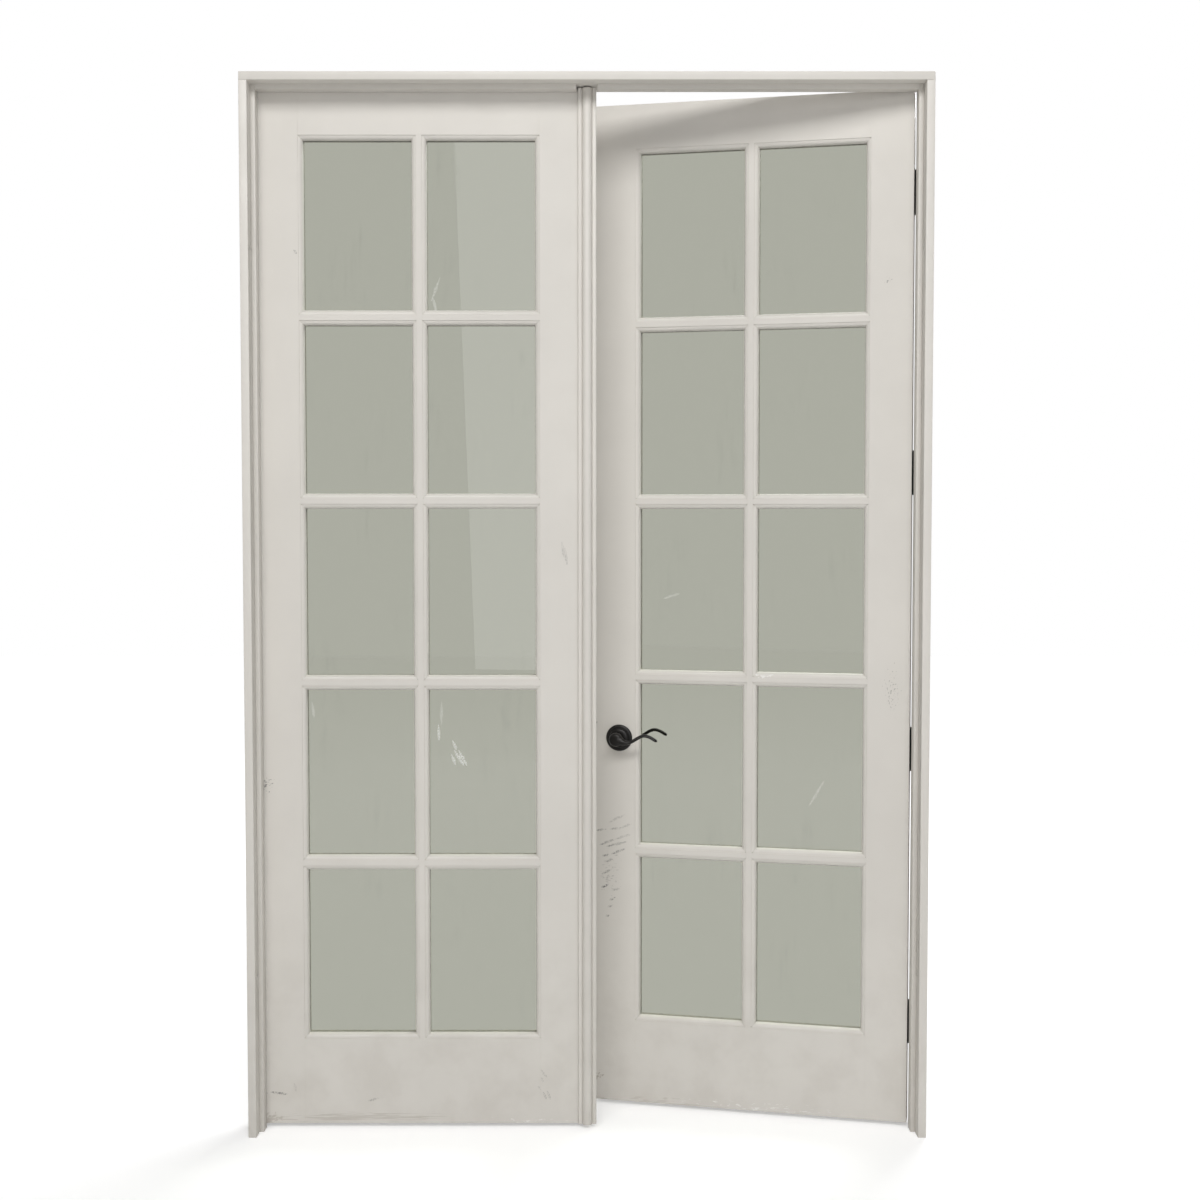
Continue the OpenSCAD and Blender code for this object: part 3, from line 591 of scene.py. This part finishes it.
def metal(name, colour, rubbed, bare_edge, metallic, dull, spread, edge_share):
    """A metal finish, smeared all over and rubbed at its edges."""
    mat, tree, surface, _ = new_material(name)
    place = tree.nodes.new("ShaderNodeTexCoord").outputs["Object"]
    skin = placed(tree, METAL_SKIN, Place=place, Metal=(*colour, 1), Rubbed=(*rubbed, 1),
                  Dull=dull, Spread=spread)
    wear = placed(tree, ARRIS_WEAR, Place=place, Width=ARRIS_WIDTH, Share=edge_share)
    bump = add(tree, "ShaderNodeBump", **METAL_BUMP, Height=skin["Height"], Normal=wear["Normal"])
    put(tree, surface.inputs["Base Color"], mixed(tree, wear["Mask"], skin["Color"], bare_edge))
    put(tree, surface.inputs["Roughness"], skin["Roughness"])
    put(tree, surface.inputs["Normal"], bump.outputs[0])
    surface.inputs["Metallic"].default_value = metallic
    return mat


PAINTED = {
    (side, grain): painted_wood(side, grain)
    for side in ("left", "right", "frame") for grain in GRAIN_ALONG
}
GLASS = {side: clear_glass(side) for side in GLASS_STREAKS}
METALS = {name: metal(name, **finish) for name, finish in METAL_FINISHES.items()}
SIDE_OF_BODY = {"left_leaf": "left", "right_leaf": "right"}
LEVEL_PIECES = ("rail", "cross_bar", "head")


def finish_of(node):
    """The material of a piece, by its slot, its body and the way its grain runs."""
    slot = SLOT_OF[node]
    if slot in METALS:
        return METALS[slot]
    side = SIDE_OF_BODY.get(NODES[node]["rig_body"], "frame")
    if slot == "glass":
        return GLASS[side]
    return PAINTED[side, "level" if any(word in node for word in LEVEL_PIECES) else "upright"]


# Shading of the carried-over pieces

WELD_WITHIN = 0.00001
SOFT_ARRIS = 0.0008
SOFT_ARRIS_STEPS = 2
SOFT_ARRIS_DEG = 50
CRISP_DEG = 35
ROUNDED_PIECES = ("jamb", "stop", "astragal")


def dress(node, obj):
    """Gives a piece its finish and shades its curves smooth; painted jambs, stops and astragal also get
    their long edges slightly rounded.
    """
    mesh = obj.data
    mesh.materials.clear()
    mesh.materials.append(finish_of(node))
    if "custom_normal" in mesh.attributes:
        mesh.attributes.remove(mesh.attributes["custom_normal"])
    mesh.polygons.foreach_set("use_smooth", [True] * len(mesh.polygons))
    weld = obj.modifiers.new("weld", "WELD")
    weld.merge_threshold = WELD_WITHIN
    if SLOT_OF[node] == "white_paint" and node.endswith(ROUNDED_PIECES):
        bevel = obj.modifiers.new("soft arris", "BEVEL")
        bevel.width = SOFT_ARRIS
        bevel.segments = SOFT_ARRIS_STEPS
        bevel.limit_method = "ANGLE"
        bevel.angle_limit = math.radians(SOFT_ARRIS_DEG)
        bevel.use_clamp_overlap = False
    split = obj.modifiers.new("crisp edges", "EDGE_SPLIT")
    split.split_angle = math.radians(CRISP_DEG)


for name, piece in NODES.items():
    dress(name, piece)


# Stage, light and camera

WHITE = (1, 1, 1, 1)
FLOOR_HALF = 14
FLOOR_COLOUR = (0.86, 0.86, 0.86, 1)
FLOOR_ROUGH = 0.9
FLOOR_SHINE = 0.1
FLOOR_GLOW_AT = (1.2, 5.0)
FLOOR_GLOW = (0.34, 0.8)
WORLD_LIGHT = 0.24
WORLD_SHOWN = 1.0
WORLD_MIRRORED = 0.5
# Lamps: place, aim, size, watts, colour
LAMPS = {
    "left overhead": ((-1.8, -6.4, 6.5), (0, 0, 1.2), (3.2, 2.4), 225, (1, 0.988, 0.962)),
    "right overhead": ((1.6, -6.4, 6.5), (0, 0, 1.2), (3.2, 2.4), 165, (0.985, 0.99, 1)),
    "front fill": ((0.9, -6.0, 2.2), (0, 0, 1.2), (3.4, 3.4), 50, (1, 1, 1)),
    "behind": ((1.6, 3.4, 4.0), (0, 0.2, 1.2), (2.4, 2.0), 130, (1, 1, 1)),
}


def make_floor():
    """A pale floor that keeps shadows, lifted to white away from the doors and behind glass."""
    mesh = bpy.data.meshes.new("floor")
    corners = [(FLOOR_HALF * x, FLOOR_HALF * y, 0) for x, y in ((-1, -1), (1, -1), (1, 1), (-1, 1))]
    mesh.from_pydata(corners, [], [(0, 1, 2, 3)])
    floor = bpy.data.objects.new("floor", mesh)
    bpy.context.scene.collection.objects.link(floor)
    mat, tree, surface, end = new_material("pale_floor")
    surface.inputs["Base Color"].default_value = FLOOR_COLOUR
    surface.inputs["Roughness"].default_value = FLOOR_ROUGH
    surface.inputs["Specular IOR Level"].default_value = FLOOR_SHINE
    place = tree.nodes.new("ShaderNodeTexCoord").outputs["Object"]
    lift = ramp(tree, vector_maths(tree, "LENGTH", place), FLOOR_GLOW_AT, FLOOR_GLOW)
    path = tree.nodes.new("ShaderNodeLightPath").outputs
    seen_lift = product(tree, path["Is Camera Ray"], lift)
    glow = add(tree, "ShaderNodeEmission", Color=WHITE, Strength=seen_lift)
    lit = tree.nodes.new("ShaderNodeAddShader")
    tree.links.new(surface.outputs[0], lit.inputs[0])
    tree.links.new(glow.outputs[0], lit.inputs[1])
    plain = add(tree, "ShaderNodeEmission", Color=WHITE, Strength=WORLD_SHOWN)
    through_glass = path["Is Transmission Ray"]
    tree.links.new(mixed_shader(tree, through_glass, lit.outputs[0], plain.outputs[0]), end)
    mesh.materials.append(mat)


def make_world():
    """Even light all round: white where it is seen or looked at through glass, dimmer in mirrors."""
    world = bpy.data.worlds.new("studio")
    bpy.context.scene.world = world
    world.use_nodes = True
    tree = world.node_tree
    path = tree.nodes.new("ShaderNodeLightPath").outputs
    seen = most(tree, path["Is Camera Ray"], path["Is Transmission Ray"])
    shown = ramp(tree, seen, (0.0, 1.0), (WORLD_LIGHT, WORLD_SHOWN))
    mirrored = product(tree, path["Is Glossy Ray"], WORLD_MIRRORED)
    background = tree.nodes["Background"]
    background.inputs["Color"].default_value = WHITE
    put(tree, background.inputs["Strength"], most(tree, shown, mirrored))


def area_lamp(name, at, aim, size, power, colour):
    """A rectangular lamp that lights the doors but isn't seen directly or through the glass."""
    lamp = bpy.data.lights.new(name, "AREA")
    lamp.shape = "RECTANGLE"
    lamp.size, lamp.size_y = size
    lamp.energy = power
    lamp.color = colour
    obj = bpy.data.objects.new(name, lamp)
    obj.location = at
    obj.rotation_euler = (Vector(aim) - Vector(at)).to_track_quat("-Z", "Y").to_euler()
    obj.visible_camera = False
    obj.visible_transmission = False
    bpy.context.scene.collection.objects.link(obj)


def make_camera():
    lens = bpy.data.cameras.new("camera")
    lens.sensor_width = CAMERA_SENSOR_MM
    lens.angle = math.radians(CAMERA_FOV_DEG)
    obj = bpy.data.objects.new("camera", lens)
    obj.location = CAMERA_AT
    obj.rotation_euler = (math.radians(90 - CAMERA_DOWN_DEG), 0, 0)
    bpy.context.scene.collection.objects.link(obj)
    bpy.context.scene.camera = obj


make_floor()
make_world()
for name, lamp in LAMPS.items():
    area_lamp(name, *lamp)
make_camera()
bpy.context.scene.view_settings.view_transform = "Standard"
